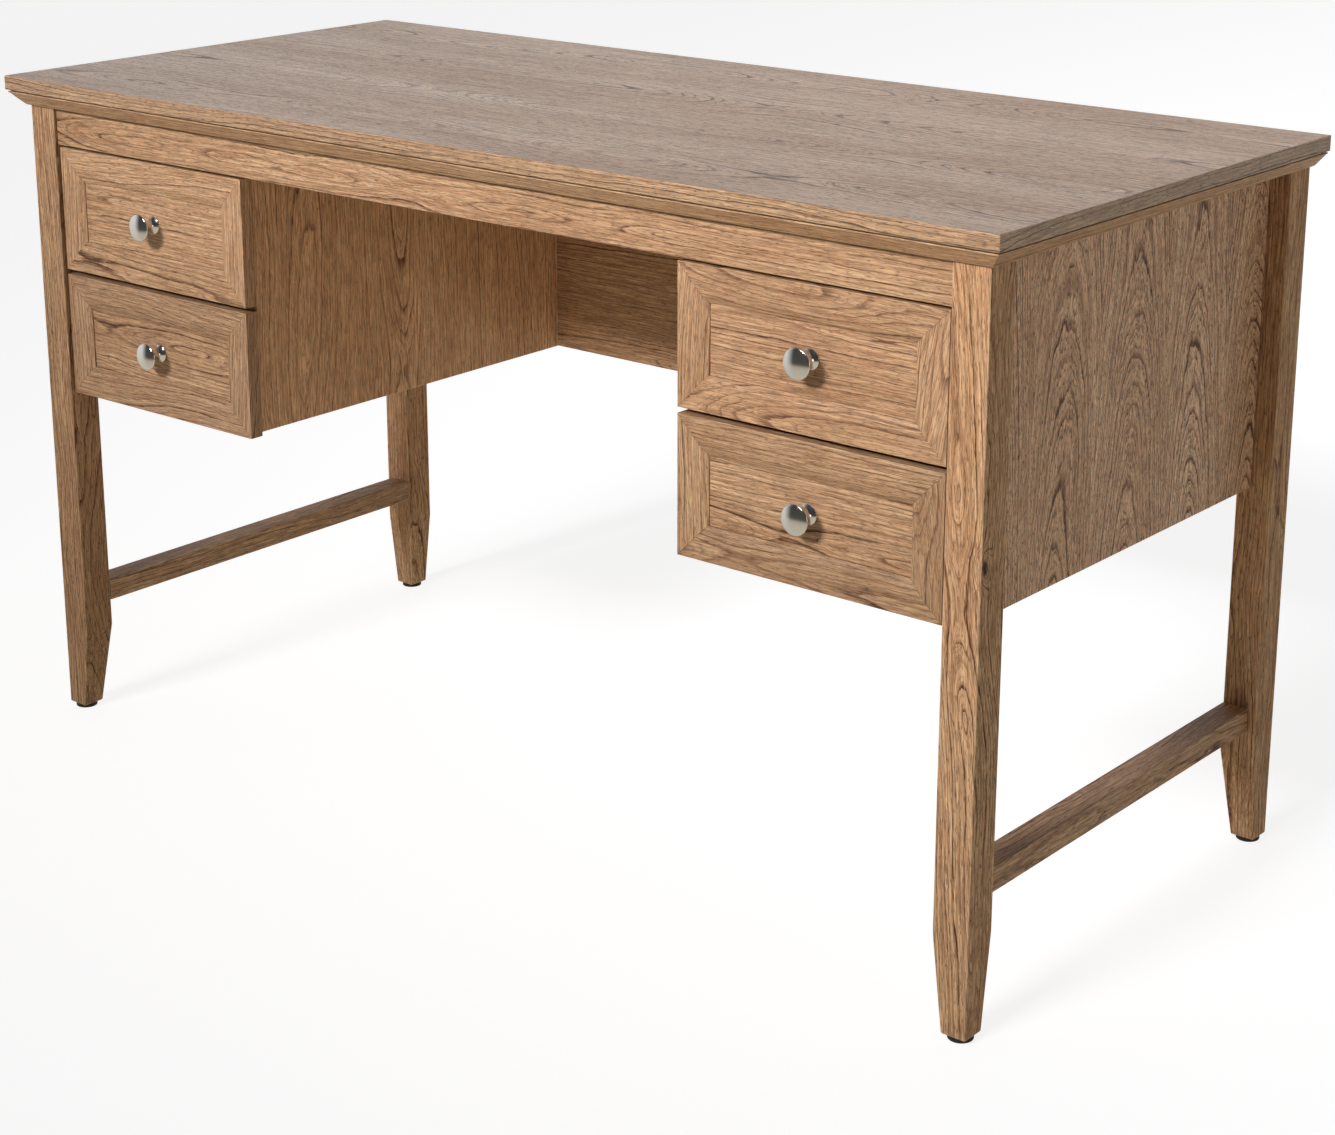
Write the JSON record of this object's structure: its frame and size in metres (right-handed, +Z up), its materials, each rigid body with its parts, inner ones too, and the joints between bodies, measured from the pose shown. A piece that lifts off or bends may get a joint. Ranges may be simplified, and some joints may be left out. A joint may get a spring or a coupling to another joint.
{
  "type": "writing desk",
  "caption": "Oak-look writing desk: moulded worktop on tapered legs, a drawer pedestal on each side of the knee hole, side stretchers and round metal knobs.",
  "frame": {"origin": "on the floor, under the middle of the worktop", "axes": "+X to the right of a person who sits at the desk, +Y to the back, +Z up"},
  "size_m": [1.32, 0.6, 0.76],
  "materials": {
    "top_oak": "satin oak-grain foil on board, slightly greyed",
    "oak": "satin oak grain, warm brown",
    "drawer_board": "matt light oak-grain foil on board",
    "runner_plastic": "matt dark brown plastic",
    "satin_nickel": "satin nickel plate",
    "zinc_steel": "bright zinc-plated steel",
    "glide_plastic": "matt black plastic"
  },
  "bodies": {
    "desk_frame": {"top_board": "top_oak", "front_moulding": "oak", "right_moulding": "oak", "left_moulding": "oak", "front_apron": "oak", "rear_apron": "oak", "back_panel": "oak", "front_left_leg": "oak", "front_left_glide": "glide_plastic", "rear_left_leg": "oak", "rear_left_glide": "glide_plastic", "left_stretcher": "oak", "left_outer_panel": "oak", "left_inner_panel": "oak", "left_pedestal_bottom": "oak", "left_lower_outer_runner": "runner_plastic", "left_lower_inner_runner": "runner_plastic", "left_upper_outer_runner": "runner_plastic", "left_upper_inner_runner": "runner_plastic", "front_right_leg": "oak", "front_right_glide": "glide_plastic", "rear_right_leg": "oak", "rear_right_glide": "glide_plastic", "right_stretcher": "oak", "right_outer_panel": "oak", "right_inner_panel": "oak", "right_pedestal_bottom": "oak", "right_lower_outer_runner": "runner_plastic", "right_lower_inner_runner": "runner_plastic", "right_upper_outer_runner": "runner_plastic", "right_upper_inner_runner": "runner_plastic"},
    "left_lower_drawer": {"left_lower_drawer_front": "oak", "left_lower_drawer_outer_side": "drawer_board", "left_lower_drawer_inner_side": "drawer_board", "left_lower_drawer_back": "drawer_board", "left_lower_drawer_base": "drawer_board", "left_lower_drawer_knob": "satin_nickel", "left_lower_drawer_knob_screw": "zinc_steel"},
    "left_upper_drawer": {"left_upper_drawer_front": "oak", "left_upper_drawer_outer_side": "drawer_board", "left_upper_drawer_inner_side": "drawer_board", "left_upper_drawer_back": "drawer_board", "left_upper_drawer_base": "drawer_board", "left_upper_drawer_knob": "satin_nickel", "left_upper_drawer_knob_screw": "zinc_steel"},
    "right_lower_drawer": {"right_lower_drawer_front": "oak", "right_lower_drawer_outer_side": "drawer_board", "right_lower_drawer_inner_side": "drawer_board", "right_lower_drawer_back": "drawer_board", "right_lower_drawer_base": "drawer_board", "right_lower_drawer_knob": "satin_nickel", "right_lower_drawer_knob_screw": "zinc_steel"},
    "right_upper_drawer": {"right_upper_drawer_front": "oak", "right_upper_drawer_outer_side": "drawer_board", "right_upper_drawer_inner_side": "drawer_board", "right_upper_drawer_back": "drawer_board", "right_upper_drawer_base": "drawer_board", "right_upper_drawer_knob": "satin_nickel", "right_upper_drawer_knob_screw": "zinc_steel"}
  },
  "joints": [
    {"name": "left_lower_slide", "type": "slide", "parent": "desk_frame", "child": "left_lower_drawer", "axis": [0, -1, 0], "range_m": [0, 0.3]},
    {"name": "left_upper_slide", "type": "slide", "parent": "desk_frame", "child": "left_upper_drawer", "axis": [0, -1, 0], "range_m": [0, 0.3]},
    {"name": "right_lower_slide", "type": "slide", "parent": "desk_frame", "child": "right_lower_drawer", "axis": [0, -1, 0], "range_m": [0, 0.3]},
    {"name": "right_upper_slide", "type": "slide", "parent": "desk_frame", "child": "right_upper_drawer", "axis": [0, -1, 0], "range_m": [0, 0.3]}
  ]
}
